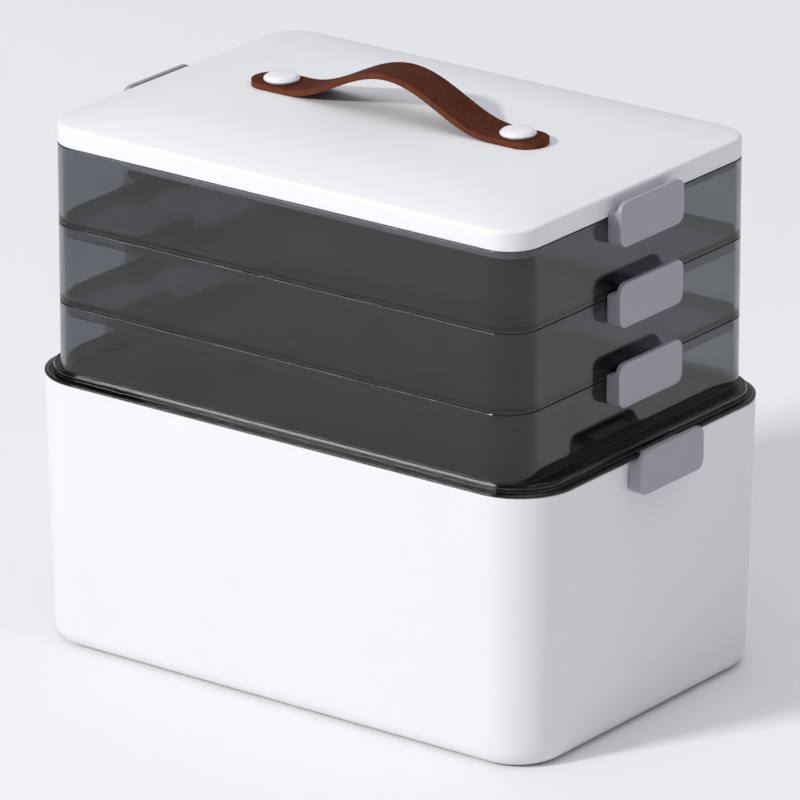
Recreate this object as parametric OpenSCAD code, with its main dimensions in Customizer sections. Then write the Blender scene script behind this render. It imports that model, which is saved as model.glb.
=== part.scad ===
// Medicine storage box: a white bin, three clear trays stacked on it, a crowned lid
// with a leather strap, and eight side latches that grip each joint.
// X runs along the long side, the front faces -Y, and Z = 0 is the floor.

/* [Bin] */
// Length of the bin at its rim
bin_l = 350; // [300:1:420]
// Width of the bin at its rim
bin_w = 230.5; // [200:0.5:280]
// Height of the bin's rim above the floor
bin_h = 156.5; // [100:0.5:220]
// Radius of the bin's upright corners at the rim
bin_r = 35; // [30:1:50]
// How much each end wall leans in from rim to floor
bin_draft_l = 4; // [1:0.5:8]
// How much the front and back walls lean in from rim to floor
bin_draft_w = 3.5; // [1:0.5:8]
// Radius of the rounded edge along the bottom
bin_edge_r = 10; // [4:1:16]
// Thickness of the bin's walls and floor
bin_wall = 2.5; // [1.5:0.1:4]

/* [Trays] */
// Distance from the bin's rim in to the trays' end walls
flange_end = 15; // [13:0.5:24]
// Distance from the bin's rim in to the trays' front and back walls
flange_side = 5.5; // [5:0.1:12]
// Radius of a tray's upright corners
tray_r = 20; // [14:1:30]
// Height that each tray adds to the stack
tray_h = 45.4; // [38:0.2:70]
// Thickness of a tray's walls
tray_wall = 2.5; // [1.5:0.1:3.5]
// Thickness of a tray's floor
tray_floor = 2; // [1.5:0.1:4]
// How deep a tray's foot ring reaches into the tray below
nest_depth = 7; // [4:0.5:9]
// Thickness of the foot rings and skirts
ring_t = 2.2; // [1.5:0.1:3]
// Gap between a foot ring or skirt and the wall that it fits in
nest_gap = 0.5; // [0.3:0.1:1]

/* [Flange of the bottom tray] */
// Width of the low lip that rests on the bin's rim
lip_w = 4.8; // [4:0.1:5.4]
// Thickness of that lip
lip_t = 1.6; // [1.2:0.1:2.5]
// Height of the flange's shelf above the bin's rim
shelf_h = 5.7; // [4:0.1:8]
// Radius along the outer edge of the shelf
shelf_edge_r = 2; // [0.5:0.1:2.4]
// Thickness of the shelf
shelf_t = 2.5; // [1.5:0.1:3.5]
// How far the bottom tray's floor hangs below the bin's rim
tray_sink = 1; // [0.5:0.1:3]
// Thickness of the skirt under the flange, which locates it in the bin
flange_skirt_t = 2.8; // [2.6:0.1:3.5]

/* [Lid] */
// Height of the lid's upright side, up to its rounded edge
lid_side = 9.5; // [8:0.1:20]
// Radius of the edge where the side turns into the top
lid_edge_r = 2.4; // [1:0.1:4]
// Rise of the crown from the rounded edge to the flat middle
crown_h = 7.6; // [4:0.1:14]
// Width of the curved band round the flat middle
crown_band = 55; // [30:1:56]
// Thickness of the lid
lid_wall = 2.5; // [1.5:0.1:4]
// Depth of the skirt that locates the lid in the top tray
skirt_depth = 4.8; // [3:0.1:8]

/* [Handle strap] */
// Width of the leather strap
strap_w = 25.2; // [18:0.2:30]
// Thickness of the leather
strap_t = 3.4; // [2:0.1:5]
// Distance from a rivet to the end of the crown's flat middle
rivet_in = 24.9; // [20:0.1:34]
// Distance from a rivet to the centre of the strap's round end
strap_tail = 5.3; // [3:0.1:8]
// Rise of the strap's arch
arch_h = 21.7; // [12:0.1:40]
// Distance from a rivet to where the arch leaves the lid
strap_flat = 10.7; // [10.6:0.1:20]

/* [Rivets] */
// Diameter of the domed cap
cap_d = 21.2; // [16:0.1:24]
// Height of the domed cap
cap_h = 4; // [3:0.1:6]
// Diameter of the rivet's shank
shank_d = 6; // [4:0.1:8]
// Diameter of the disc that locks the rivet inside the lid
back_d = 18; // [14:0.1:24]
// Thickness of that disc
back_t = 1.8; // [1.2:0.1:3]
// Length of the boss under that disc, which grips the shank
back_boss = 3.4; // [2:0.1:5]

/* [Latches] */
// Width of a latch along the wall
latch_w = 58.5; // [50:0.5:70]
// Distance from the wall to the latch's outer face
latch_t = 9; // [8.5:0.1:11]
// Thickness of the latch's outer plate
plate_t = 2.7; // [2.4:0.1:3]
// Height of the plate above the joint that it closes
latch_up = 9; // [8.6:0.1:12]
// Reach of the latch below that joint
latch_down = 16.1; // [15:0.1:18]
// Radius of the plate's four corners
latch_corner_r = 6; // [3:0.1:8]
// Radius along the plate's bottom edge
latch_edge_r = 1.2; // [0.6:0.1:1.4]
// Thickness of the two end cheeks
cheek_w = 6.8; // [5:0.1:9]
// Thickness of a cheek's top, next to the wall
cheek_top_t = 3.7; // [3:0.1:4.2]
// Height of the cheeks above the joint
cheek_up = 2.5; // [1:0.1:3]
// Distance from the wall to the hinge pin's axis
pivot_out = 4.4; // [4.2:0.1:5]
// Diameter of the hinge pin
pin_d = 2.4; // [2:0.1:2.6]
// Width of each hinge lug on the wall
lug_w = 10; // [6:0.5:12]
// Radius of a hinge lug's nose
lug_r = 2.8; // [2.4:0.1:2.9]
// Width of the ledge that the hook catches
ledge_w = 32; // [20:1:36]
// How far the ledge stands out from the wall
ledge_out = 1.7; // [1:0.1:2.4]
// Height of the ledge's underside above the joint
ledge_base = 1; // [0.6:0.1:1.2]
// Thickness of the ledge
ledge_t = 2.2; // [1.6:0.1:2.4]
// Thickness of the hook at its root
hook_t = 2.2; // [1.6:0.1:2.6]
// Thickness of the hook at its nose
hook_nose_t = 1.7; // [1:0.1:2]
// How far the bin's hooks reach in over the flange's lip
lip_hook_in = 1.6; // [1:0.1:3.6]
// Thickness of those hooks at their nose
lip_hook_nose_t = 0.7; // [0.5:0.1:1.5]
// How much lower the bin's latches sit than the others
bin_latch_drop = 1.9; // [0.6:0.1:2.2]

/* [Clearances] */
// Gap between a latch and the wall behind it
wall_gap = 0.3; // [0.2:0.05:0.5]
// Gap between the hook and the top of the ledge under it
hook_gap = 0.25; // [0.1:0.05:0.5]
// Gap between a latch's cheek and its hinge pin, on the radius
pin_gap = 0.1; // [0.05:0.01:0.2]
// Gap between a lug and the cheek beside it
lug_gap = 0.4; // [0.2:0.05:0.8]
// Gap round a rivet's shank, on the radius
shank_gap = 0.1; // [0.05:0.01:0.3]

/* [Hidden] */
// Length and width of a tray
tray_l = bin_l - 2 * flange_end;
tray_w = bin_w - 2 * flange_side;

// Heights of the joints, from the bin's rim up to the lid
rim_z = bin_h;
base_z = rim_z - tray_sink;
joint_z = [base_z, base_z + tray_h, base_z + 2 * tray_h, base_z + 3 * tray_h];
lid_z = joint_z[3];
crown_slope = 2 * atan(crown_h / crown_band);
crown_z = lid_side + lid_edge_r * cos(crown_slope);
top_z = lid_z + crown_z + crown_h;
shelf_z = rim_z + shelf_h;

// Inset of the foot rings and skirts from the wall's outer face
nest_in = tray_wall + nest_gap;
bin_nest_in = bin_wall + nest_gap;

// Steps along a curved edge, across the crown and round a lofted corner
edge_steps = 6;
crown_steps = 8;
corner_steps = 12;
corner_fn = 72;
round_fn = 48;
// How far a cut runs past the face that it opens
past = 1;
// Depth by which joined shapes run into each other
weld = 1.4;

// Latches: the hinge pin's height and the cylinder that clears the lugs
pivot_down = latch_down - (pivot_out - wall_gap);
pocket_r = lug_r + wall_gap;
cheek_in = latch_w / 2 - cheek_w;
lug_out = cheek_in - lug_gap;
plate_in = latch_t - plate_t;
hook_w = ledge_w + 2;
hook_base = ledge_base + ledge_t + hook_gap;
hook_slope = atan((pivot_out - wall_gap) / (hook_base + pivot_down)) - 1;
lip_hook_base = lip_t + bin_latch_drop + hook_gap;
pin_from = -(cheek_in + cheek_w / 2);
pin_to = latch_w / 2 - 0.5;
pin_end_gap = 0.25;
plate_top_r = 0.7;
corner_past = 0.3;
arc_steps = 8;

// Strap: distance between the rivets, half the arch's length, steps along it, and the
// centre of a round end
rivet_span = tray_l - 2 * crown_band - 2 * rivet_in;
arch_half = rivet_span / 2 - strap_flat;
arch_steps = 40;
strap_end_x = rivet_span / 2 + strap_tail;

bin_colour = "white";
clear_colour = [0.36, 0.37, 0.39, 0.55];
latch_colour = [0.55, 0.55, 0.58];
steel_colour = "silver";
leather_colour = [0.40, 0.20, 0.13];

// A rectangle with round corners, as squares and circles
module round_rect(l, w, r) {
    square([l - 2 * r, w], center = true);
    square([l, w - 2 * r], center = true);
    for (sx = [-1, 1], sy = [-1, 1])
        translate([sx * (l / 2 - r), sy * (w / 2 - r)]) circle(r = r, $fn = corner_fn);
}

// An upright wall that follows a rounded rectangle, inset from it by `inset`
module wall_ring(l, w, r, inset, t, h) {
    linear_extrude(h) difference() {
        round_rect(l - 2 * inset, w - 2 * inset, r - inset);
        round_rect(l - 2 * inset - 2 * t, w - 2 * inset - 2 * t, r - inset - t);
    }
}

// Points round a rounded rectangle at height z, with the same count for every size
function ring_at(z, l, w, r) = [for (c = [0 : 3], i = [0 : corner_steps])
    let (a = 90 * (c + i / corner_steps))
    [(c == 0 || c == 3 ? 1 : -1) * (l / 2 - r) + r * cos(a),
     (c < 2 ? 1 : -1) * (w / 2 - r) + r * sin(a), z]];

// A closed skin through a list of such rings, from the lowest to the highest
module loft(rings) {
    n = len(rings[0]);
    top = (len(rings) - 1) * n;
    polyhedron(points = [for (ring = rings) each ring], faces = concat(
        [[for (i = [0 : n - 1]) i]], [[for (i = [n - 1 : -1 : 0]) top + i]],
        [for (k = [0 : n : top - 1], i = [0 : n - 1]) let (j = (i + 1) % n)
            each [[k + i, k + n + i, k + n + j], [k + i, k + n + j, k + j]]]));
}

// Rings up the bin's leaning walls and rounded bottom edge, inset by `inset`
function bin_rings(inset) = let (edge_r = bin_edge_r - inset) concat(
    [for (i = [edge_steps : -1 : 0]) let (a = 90 * i / edge_steps, in = inset + edge_r * (1 - cos(a)))
        ring_at(inset + edge_r * (1 - sin(a)), bin_l - 2 * (bin_draft_l + in),
                bin_w - 2 * (bin_draft_w + in), bin_r - bin_draft_l - in)],
    [ring_at(bin_h, bin_l - 2 * inset, bin_w - 2 * inset, bin_r - inset)]);

// Rings up the lid's side, round its edge and over its crown, inset by `inset`
function lid_rings(inset, from) = let (l = tray_l - 2 * inset, w = tray_w - 2 * inset,
        r = tray_r - inset, edge_in = lid_edge_r * (1 - sin(crown_slope)),
        span = crown_band - edge_in, arc_r = (span * span + crown_h * crown_h) / (2 * crown_h))
    concat([ring_at(from, l, w, r)],
        [for (i = [0 : edge_steps]) let (a = (90 - crown_slope) * i / edge_steps,
                in = lid_edge_r * (1 - cos(a)))
            ring_at(lid_side - inset + lid_edge_r * sin(a), l - 2 * in, w - 2 * in, r - in / 2)],
        [for (i = [1 : crown_steps]) let (in = edge_in + span * i / crown_steps,
                drop = arc_r - sqrt(arc_r * arc_r - pow(crown_band - in, 2)))
            ring_at(crown_z + crown_h - inset - drop, l - 2 * in, w - 2 * in, r + in * 0.5)]);

// Mirrors the children to the left end of the box by a half turn
module at_end(side) {
    rotate([0, 0, side > 0 ? 0 : 180]) children();
}

// Turns a profile drawn as [out from the wall, up] into a solid along Y
module along_wall(from, to) {
    translate([0, to, 0]) rotate([90, 0, 0]) linear_extrude(to - from) children();
}

// Two hinge lugs on the wall at x = wall_x; the pin is pressed into their bores at height z
module hinge_lugs(wall_x, z) {
    for (from = [-lug_out, lug_out - lug_w]) translate([wall_x, 0, z])
        difference() {
            along_wall(from, from + lug_w) {
                translate([pivot_out, 0]) circle(r = lug_r, $fn = round_fn);
                translate([-weld, -lug_r]) square([pivot_out + weld, 2 * lug_r]);
            }
            translate([pivot_out, from + lug_w / 2, 0]) rotate([90, 0, 0])
                cylinder(d = pin_d, h = lug_w + 2 * past, center = true, $fn = round_fn);
        }
}

// The ledge that a hook catches, just above the joint at z. Its top leans in towards the
// wall, along the way the hook swings, so a pull on the joint draws the hook inwards.
module hook_ledge(z) {
    translate([tray_l / 2, 0, z]) along_wall(-ledge_w / 2, ledge_w / 2)
        polygon([[-weld, ledge_base], [ledge_out, ledge_base],
                 [ledge_out, ledge_base + ledge_t + ledge_out * tan(hook_slope)],
                 [0, ledge_base + ledge_t], [-weld, ledge_base + ledge_t]]);
}

// Height of the hinge pin of the latch that closes the joint at z
function pin_z(z) = z - pivot_down;

// A pair of lugs and ledges, one at each end
module lugs_at_ends(wall_x, z) {
    for (side = [-1, 1]) at_end(side) hinge_lugs(wall_x, z);
}

module ledges_at_ends(z) {
    for (side = [-1, 1]) at_end(side) hook_ledge(z);
}

module bin() {
    color(bin_colour) {
        difference() {
            loft(bin_rings(0));
            loft(concat(bin_rings(bin_wall), [ring_at(bin_h + past, bin_l - 2 * bin_wall,
                bin_w - 2 * bin_wall, bin_r - bin_wall)]));
        }
        lugs_at_ends(bin_l / 2, pin_z(rim_z - bin_latch_drop));
    }
}

// Floor and walls of a tray whose underside is at z
module tray_shell(z) {
    translate([0, 0, z]) {
        wall_ring(tray_l, tray_w, tray_r, 0, tray_wall, tray_h);
        linear_extrude(tray_floor) round_rect(tray_l, tray_w, tray_r);
    }
}

// The raised shelf of the flange, solid, with its rounded outer edge
module shelf_block() {
    loft(concat([ring_at(rim_z, bin_l - 2 * lip_w, bin_w - 2 * lip_w, bin_r - lip_w)],
        [for (i = [0 : edge_steps]) let (a = 90 * i / edge_steps,
                in = lip_w + shelf_edge_r * (1 - cos(a)))
            ring_at(shelf_z - shelf_edge_r * (1 - sin(a)), bin_l - 2 * in, bin_w - 2 * in, bin_r - in)]));
}

module tray_bottom() {
    wall_mid = tray_wall / 2;
    shelf_in = lip_w + shelf_t;
    color(clear_colour) {
        tray_shell(base_z);
        // A low lip on the bin's rim and a hollow shelf that steps up to the tray's wall
        difference() {
            union() {
                shelf_block();
                translate([0, 0, rim_z]) linear_extrude(lip_t) round_rect(bin_l, bin_w, bin_r);
            }
            translate([0, 0, rim_z - past]) linear_extrude(shelf_h + 2 * past)
                round_rect(tray_l - 2 * wall_mid, tray_w - 2 * wall_mid, tray_r - wall_mid);
            translate([0, 0, rim_z - past]) linear_extrude(past + shelf_h - shelf_t)
                difference() {
                    round_rect(bin_l - 2 * shelf_in, bin_w - 2 * shelf_in, bin_r - shelf_in);
                    round_rect(tray_l, tray_w, tray_r);
                }
        }
        translate([0, 0, rim_z - nest_depth])
            wall_ring(bin_l, bin_w, bin_r, bin_nest_in, flange_skirt_t, nest_depth + lip_t / 2);
        lugs_at_ends(tray_l / 2, pin_z(joint_z[1]));
    }
}

// A stacking tray: its foot ring nests in the tray below, its lugs carry the latches above
module stacking_tray(z) {
    color(clear_colour) {
        tray_shell(z);
        translate([0, 0, z - nest_depth])
            wall_ring(tray_l, tray_w, tray_r, nest_in, ring_t, nest_depth + tray_floor / 2);
        ledges_at_ends(z);
        lugs_at_ends(tray_l / 2, pin_z(z + tray_h));
    }
}

module tray_middle() {
    stacking_tray(joint_z[1]);
}

module tray_top() {
    stacking_tray(joint_z[2]);
}

module lid() {
    color(bin_colour) {
        difference() {
            translate([0, 0, lid_z]) difference() {
                loft(lid_rings(0, 0));
                loft(lid_rings(lid_wall, -past));
            }
            for (side = [-1, 1]) translate([side * rivet_span / 2, 0, top_z - lid_wall - past])
                cylinder(d = shank_d + 2 * shank_gap, h = lid_wall + 2 * past, $fn = round_fn);
        }
        // The skirt, and the band that joins it to the inside of the wall
        translate([0, 0, lid_z - skirt_depth])
            wall_ring(tray_l, tray_w, tray_r, nest_in, ring_t, skirt_depth + lid_side / 2);
        translate([0, 0, lid_z])
            wall_ring(tray_l, tray_w, tray_r, lid_wall / 2, lid_wall, lid_side / 2 - weld);
        ledges_at_ends(lid_z);
    }
}

// Height of the strap's underside above the lid, at a distance x from the middle
function arch(x) = abs(x) >= arch_half ? 0 : arch_h * (1 + cos(180 * x / arch_half)) / 2;

// Slope of the arch, for laying the leather's thickness square to it
function arch_slope(x) = abs(x) >= arch_half ? 0
    : -arch_h * sin(180 * x / arch_half) * PI / (2 * arch_half);

module handle_strap() {
    reach = strap_end_x + strap_w / 2;
    xs = concat([-reach], [for (i = [0 : arch_steps]) arch_half * (2 * i / arch_steps - 1)], [reach]);
    under = [for (x = xs) [x, arch(x)]];
    over = [for (i = [len(xs) - 1 : -1 : 0]) let (x = xs[i], m = arch_slope(x), n = sqrt(1 + m * m))
        [x - strap_t * m / n, arch(x) + strap_t / n]];
    color(leather_colour) translate([0, 0, top_z]) difference() {
        intersection() {
            along_wall(-strap_w, strap_w) polygon(concat(under, over));
            linear_extrude(arch_h + strap_t + 1) {
                square([2 * strap_end_x, strap_w], center = true);
                for (side = [-1, 1]) translate([side * strap_end_x, 0])
                    circle(d = strap_w, $fn = corner_fn);
            }
        }
        for (side = [-1, 1]) translate([side * rivet_span / 2, 0, -1])
            cylinder(d = shank_d + 2 * shank_gap, h = strap_t + 2, $fn = round_fn);
    }
}

// A push rivet: domed cap on the strap and a shank down through the lid
module rivet(side) {
    cap_r = cap_d / 2;
    rim = 1;
    ball_r = (pow(cap_r, 2) + pow(cap_h - rim, 2)) / (2 * (cap_h - rim));
    shank_l = strap_t + lid_wall + back_t + back_boss;
    color(bin_colour) translate([side * rivet_span / 2, 0, top_z + strap_t]) {
        intersection() {
            translate([0, 0, cap_h - ball_r]) sphere(r = ball_r, $fn = corner_fn);
            cylinder(r1 = cap_r - rim, r2 = cap_r + rim * 3, h = cap_h + 1, $fn = corner_fn);
            cylinder(r = cap_r, h = cap_h + 1, $fn = corner_fn);
        }
        translate([0, 0, -shank_l]) cylinder(d = shank_d, h = shank_l + rim / 2, $fn = round_fn);
    }
}

module rivet_left() {
    rivet(-1);
}

module rivet_right() {
    rivet(1);
}

// The disc and boss pushed onto the shank from inside the lid
module rivet_back(side) {
    color(bin_colour) translate([side * rivet_span / 2, 0, top_z - lid_wall - back_t])
        difference() {
            union() {
                cylinder(d = back_d, h = back_t, $fn = corner_fn);
                translate([0, 0, -back_boss]) cylinder(d = shank_d + 4, h = back_boss + 0.5, $fn = round_fn);
            }
            translate([0, 0, -back_boss - 1])
                cylinder(d = shank_d + shank_gap, h = back_boss + back_t + 2, $fn = round_fn);
        }
}

module rivet_back_left() {
    rivet_back(-1);
}

module rivet_back_right() {
    rivet_back(1);
}

// Points along an arc about [x, z] in a side view, from angle a0 to a1
function arc(x, z, r, a0, a1) = [for (i = [0 : arc_steps]) let (a = a0 + (a1 - a0) * i / arc_steps)
    [x + r * cos(a), z + r * sin(a)]];

// Outline of a cheek, as [out from the wall, up from the joint]: a round foot about the
// pin, a low top next to the wall and a scoop up to the plate
function cheek_outline() = let (scoop_r = plate_in - cheek_top_t + 1, heel_r = pivot_out - wall_gap)
    concat([[wall_gap, cheek_up]],
        arc(plate_in - scoop_r, cheek_up + scoop_r, scoop_r, -asin(sqrt(1 - pow(1 / scoop_r, 2))), 0),
        [[plate_in + weld, cheek_up + scoop_r]], [[plate_in + weld, -latch_down]],
        arc(pivot_out, -pivot_down, heel_r, -90, -180));

// Outline of the outer plate, with its soft top and bottom edges
function plate_outline() = concat([[plate_in, latch_up], [plate_in, -latch_down]],
    arc(latch_t - latch_edge_r, latch_edge_r - latch_down, latch_edge_r, -90, 0),
    arc(latch_t - plate_top_r, latch_up - plate_top_r, plate_top_r, 0, 90));

// A latch in its closed place, with its joint at z = 0 and the wall at x = 0. The hook
// thins towards its nose, so that it stays hidden behind the plate.
module latch_form(hook_from, hook_z, slope, nose_t) {
    hook_to = plate_in + plate_t / 2;
    root_top = hook_z + hook_t + plate_in * tan(slope);
    difference() {
        intersection() {
            union() {
                along_wall(-latch_w, latch_w) polygon(plate_outline());
                for (from = [-latch_w, cheek_in]) along_wall(from, from + latch_w - cheek_in)
                    polygon(cheek_outline());
                along_wall(-hook_w / 2, hook_w / 2)
                    polygon([[hook_from, hook_z + hook_from * tan(slope)],
                             [hook_to, hook_z + hook_to * tan(slope)],
                             [hook_to, root_top], [plate_in, root_top],
                             [hook_from, hook_z + hook_from * tan(slope) + nose_t]]);
            }
            // The four round corners, cut a little outside the top and bottom edges
            translate([-latch_t, 0, (latch_up - latch_down) / 2]) rotate([90, 0, 90])
                linear_extrude(3 * latch_t)
                    round_rect(latch_w, latch_up + latch_down + 2 * corner_past, latch_corner_r);
        }
        // Hollow between the cheeks that clears the lugs through the whole swing
        along_wall(-cheek_in, cheek_in) {
            translate([pivot_out, -pivot_down]) circle(r = pocket_r, $fn = round_fn);
            translate([pivot_out, -pivot_down - pocket_r - past - 2]) square([pocket_r, pocket_r + past + 2]);
        }
        // Pin bore: blind in one cheek and open through the other
        translate([pivot_out, (pin_from - pin_end_gap + latch_w) / 2, -pivot_down]) rotate([90, 0, 0])
            cylinder(d = pin_d + 2 * pin_gap, h = latch_w - pin_from + pin_end_gap, center = true,
                     $fn = round_fn);
    }
}

module tray_latch(side, z) {
    color(latch_colour) at_end(side) translate([tray_l / 2, 0, z])
        latch_form(wall_gap, hook_base, hook_slope, hook_nose_t);
}

module bin_latch(side) {
    color(latch_colour) at_end(side) translate([bin_l / 2, 0, rim_z - bin_latch_drop])
        latch_form(-lip_hook_in, lip_hook_base, 0, lip_hook_nose_t);
}

module latch_bin_left() { bin_latch(-1); }
module latch_bin_right() { bin_latch(1); }
module latch_bottom_left() { tray_latch(-1, joint_z[1]); }
module latch_bottom_right() { tray_latch(1, joint_z[1]); }
module latch_middle_left() { tray_latch(-1, joint_z[2]); }
module latch_middle_right() { tray_latch(1, joint_z[2]); }
module latch_top_left() { tray_latch(-1, joint_z[3]); }
module latch_top_right() { tray_latch(1, joint_z[3]); }

// A steel hinge pin through the lugs and the latch's cheeks
module hinge_pin(side, wall_x, z) {
    color(steel_colour) at_end(side)
        translate([wall_x + pivot_out, (pin_from + pin_to) / 2, pin_z(z)])
        rotate([90, 0, 0]) cylinder(d = pin_d, h = pin_to - pin_from, center = true, $fn = round_fn);
}

module pin_bin_left() { hinge_pin(-1, bin_l / 2, rim_z - bin_latch_drop); }
module pin_bin_right() { hinge_pin(1, bin_l / 2, rim_z - bin_latch_drop); }
module pin_bottom_left() { hinge_pin(-1, tray_l / 2, joint_z[1]); }
module pin_bottom_right() { hinge_pin(1, tray_l / 2, joint_z[1]); }
module pin_middle_left() { hinge_pin(-1, tray_l / 2, joint_z[2]); }
module pin_middle_right() { hinge_pin(1, tray_l / 2, joint_z[2]); }
module pin_top_left() { hinge_pin(-1, tray_l / 2, joint_z[3]); }
module pin_top_right() { hinge_pin(1, tray_l / 2, joint_z[3]); }

bin();
tray_bottom();
tray_middle();
tray_top();
lid();
handle_strap();
rivet_left();
rivet_right();
rivet_back_left();
rivet_back_right();
latch_bin_left();
latch_bin_right();
latch_bottom_left();
latch_bottom_right();
latch_middle_left();
latch_middle_right();
latch_top_left();
latch_top_right();
pin_bin_left();
pin_bin_right();
pin_bottom_left();
pin_bottom_right();
pin_middle_left();
pin_middle_right();
pin_top_left();
pin_top_right();
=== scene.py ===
"""Medicine storage box: a white bin, three smoky clear trays, a crowned lid with a leather
strap, and eight side latches. The object's sizes and the camera's are in millimetres until
they are used; the lights, the floor, CLIP_END and the materials' patterns are in metres."""
import math

import bpy
import numpy as np
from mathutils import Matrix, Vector


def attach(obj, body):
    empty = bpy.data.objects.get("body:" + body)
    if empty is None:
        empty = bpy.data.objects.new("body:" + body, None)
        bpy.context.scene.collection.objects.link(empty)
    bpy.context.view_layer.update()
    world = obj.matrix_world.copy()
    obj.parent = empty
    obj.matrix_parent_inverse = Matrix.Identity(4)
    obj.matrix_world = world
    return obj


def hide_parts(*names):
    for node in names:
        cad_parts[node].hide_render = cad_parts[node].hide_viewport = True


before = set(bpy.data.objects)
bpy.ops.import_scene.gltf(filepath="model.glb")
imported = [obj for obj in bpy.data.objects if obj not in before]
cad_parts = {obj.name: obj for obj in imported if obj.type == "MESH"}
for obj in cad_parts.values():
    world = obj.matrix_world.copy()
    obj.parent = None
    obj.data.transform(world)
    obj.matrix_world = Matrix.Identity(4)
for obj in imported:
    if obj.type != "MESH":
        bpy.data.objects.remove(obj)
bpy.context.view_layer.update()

scene = bpy.context.scene


# Camera and light of a studio table: a long lens at the photograph's angle, one soft key from
# the front left, and a surround that is brightest overhead and to the right. A white card
# under the key shows only in glossy faces, as pale lines along the clear plastic's rims.
MM = 0.001
CAMERA_AT = (2595.1, -3456.7, 1717.5)
CAMERA_LOOKS_AT = (0.0, 0.0, 145.6)
LENS = 377.0
SENSOR_WIDTH = 36.0
FRAME_SHIFT = 0.0015
CLIP_END = 60.0
KEY_WAY = (-0.61, -1.51, 1.0)
KEY_AWAY = 8.0
KEY_RAISED = 0.2
KEY_SIZE = (1.2, 0.6)
KEY_POWER = 392.0
CARD_AZIMUTH = -114.0
CARD_AWAY = 3.5
CARD_MIDDLE = 1.0
CARD_SIZE = (1.8, 1.9)
CARD_LEVEL = 9.0
CARD_FACES = (0.0, 0.0, 0.15)
SKY_TINT = "#f4f6fa"
SKY_BRIGHT_SIDE = (0.57, 0.82, 0.0)
SKY_SIDE_LEVEL = 0.4
SKY_TOP_LEVEL = 1.9
SKY_TOP_FALL = 6.0
BOUNCES = 32
STRAIGHT_BOUNCES = 16
GLOSSY_BOUNCES = 8


def srgb(code):
    """A hex colour in sRGB as the linear numbers that shaders take: c / 12.92 where it is
    dark, and ((c + 0.055) / 1.055) ** 2.4 elsewhere."""
    parts = np.array([int(code[i : i + 2], 16) for i in (1, 3, 5)]) / 255
    linear = np.where(parts <= 0.04045, parts / 12.92, ((parts + 0.055) / 1.055) ** 2.4)
    return (*linear.tolist(), 1.0)


def node(tree, kind, links=None, **settings):
    """Adds a shader node. A setting is an input's value where an input has its name, else an
    attribute, and `links` gives the sockets that feed its inputs, by name or by number."""
    made = tree.nodes.new(kind)
    for name, value in settings.items():
        label = name.replace("_", " ").title()
        if label in made.inputs:
            made.inputs[label].default_value = value
        else:
            setattr(made, name, value)
    for name, socket in (links or {}).items():
        tree.links.new(socket, made.inputs[name])
    return made


def aimed(thing, place, way):
    """Puts a camera or a light into the scene at a place in metres, looking along `way`."""
    thing.location = place
    thing.rotation_euler = way.to_track_quat("-Z", "Y").to_euler()
    scene.collection.objects.link(thing)
    return thing


def soft_panel(name, size, power, place, faces):
    """A rectangular light, of a size in metres and a power in watts, that faces a point."""
    light = bpy.data.lights.new(name, "AREA")
    light.shape = "RECTANGLE"
    light.size, light.size_y = size
    light.energy = power
    return aimed(bpy.data.objects.new(name, light), place, Vector(faces) - place)


long_lens = bpy.data.cameras.new("camera")
long_lens.lens = LENS
long_lens.sensor_width = SENSOR_WIDTH
long_lens.shift_x = FRAME_SHIFT
long_lens.clip_end = CLIP_END
scene.camera = aimed(bpy.data.objects.new("camera", long_lens), Vector(CAMERA_AT) * MM,
                     Vector(CAMERA_LOOKS_AT) - Vector(CAMERA_AT))

key_place = Vector(KEY_WAY).normalized() * KEY_AWAY + Vector((0, 0, KEY_RAISED))
soft_panel("key", KEY_SIZE, KEY_POWER, key_place, (0, 0, 0))

card_turn = math.radians(CARD_AZIMUTH)
card_place = Vector((CARD_AWAY * math.cos(card_turn), CARD_AWAY * math.sin(card_turn),
                     CARD_MIDDLE))
card_power = CARD_LEVEL * math.pi * CARD_SIZE[0] * CARD_SIZE[1]
card = soft_panel("card_front", CARD_SIZE, card_power, card_place, CARD_FACES)
card.visible_camera = False
card.visible_diffuse = False
card.visible_transmission = False

world = bpy.data.worlds.new("white_surround")
world.use_nodes = True
sky = world.node_tree
sky_at = node(sky, "ShaderNodeTexCoord").outputs["Generated"]
beside = node(sky, "ShaderNodeVectorMath", {0: sky_at}, operation="DOT_PRODUCT")
beside.inputs[1].default_value = SKY_BRIGHT_SIDE
side_level = node(sky, "ShaderNodeMapRange", {"Value": beside.outputs["Value"]},
                  from_min=-1.0, to_min=0.0, to_max=SKY_SIDE_LEVEL)
upward = node(sky, "ShaderNodeSeparateXYZ", {0: sky_at}).outputs["Z"]
overhead = node(sky, "ShaderNodeMath", {0: upward}, operation="POWER", use_clamp=True)
overhead.inputs[1].default_value = SKY_TOP_FALL
sky_level = node(sky, "ShaderNodeMath",
                 {0: overhead.outputs["Value"], 2: side_level.outputs["Result"]},
                 operation="MULTIPLY_ADD")
sky_level.inputs[1].default_value = SKY_TOP_LEVEL
background = sky.nodes["Background"]
background.inputs["Color"].default_value = srgb(SKY_TINT)
sky.links.new(sky_level.outputs["Value"], background.inputs["Strength"])
scene.world = world

scene.view_settings.view_transform = "Standard"
scene.cycles.max_bounces = BOUNCES
scene.cycles.transmission_bounces = BOUNCES
scene.cycles.transparent_max_bounces = STRAIGHT_BOUNCES
scene.cycles.glossy_bounces = GLOSSY_BOUNCES
scene.cycles.use_denoising = True


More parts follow.
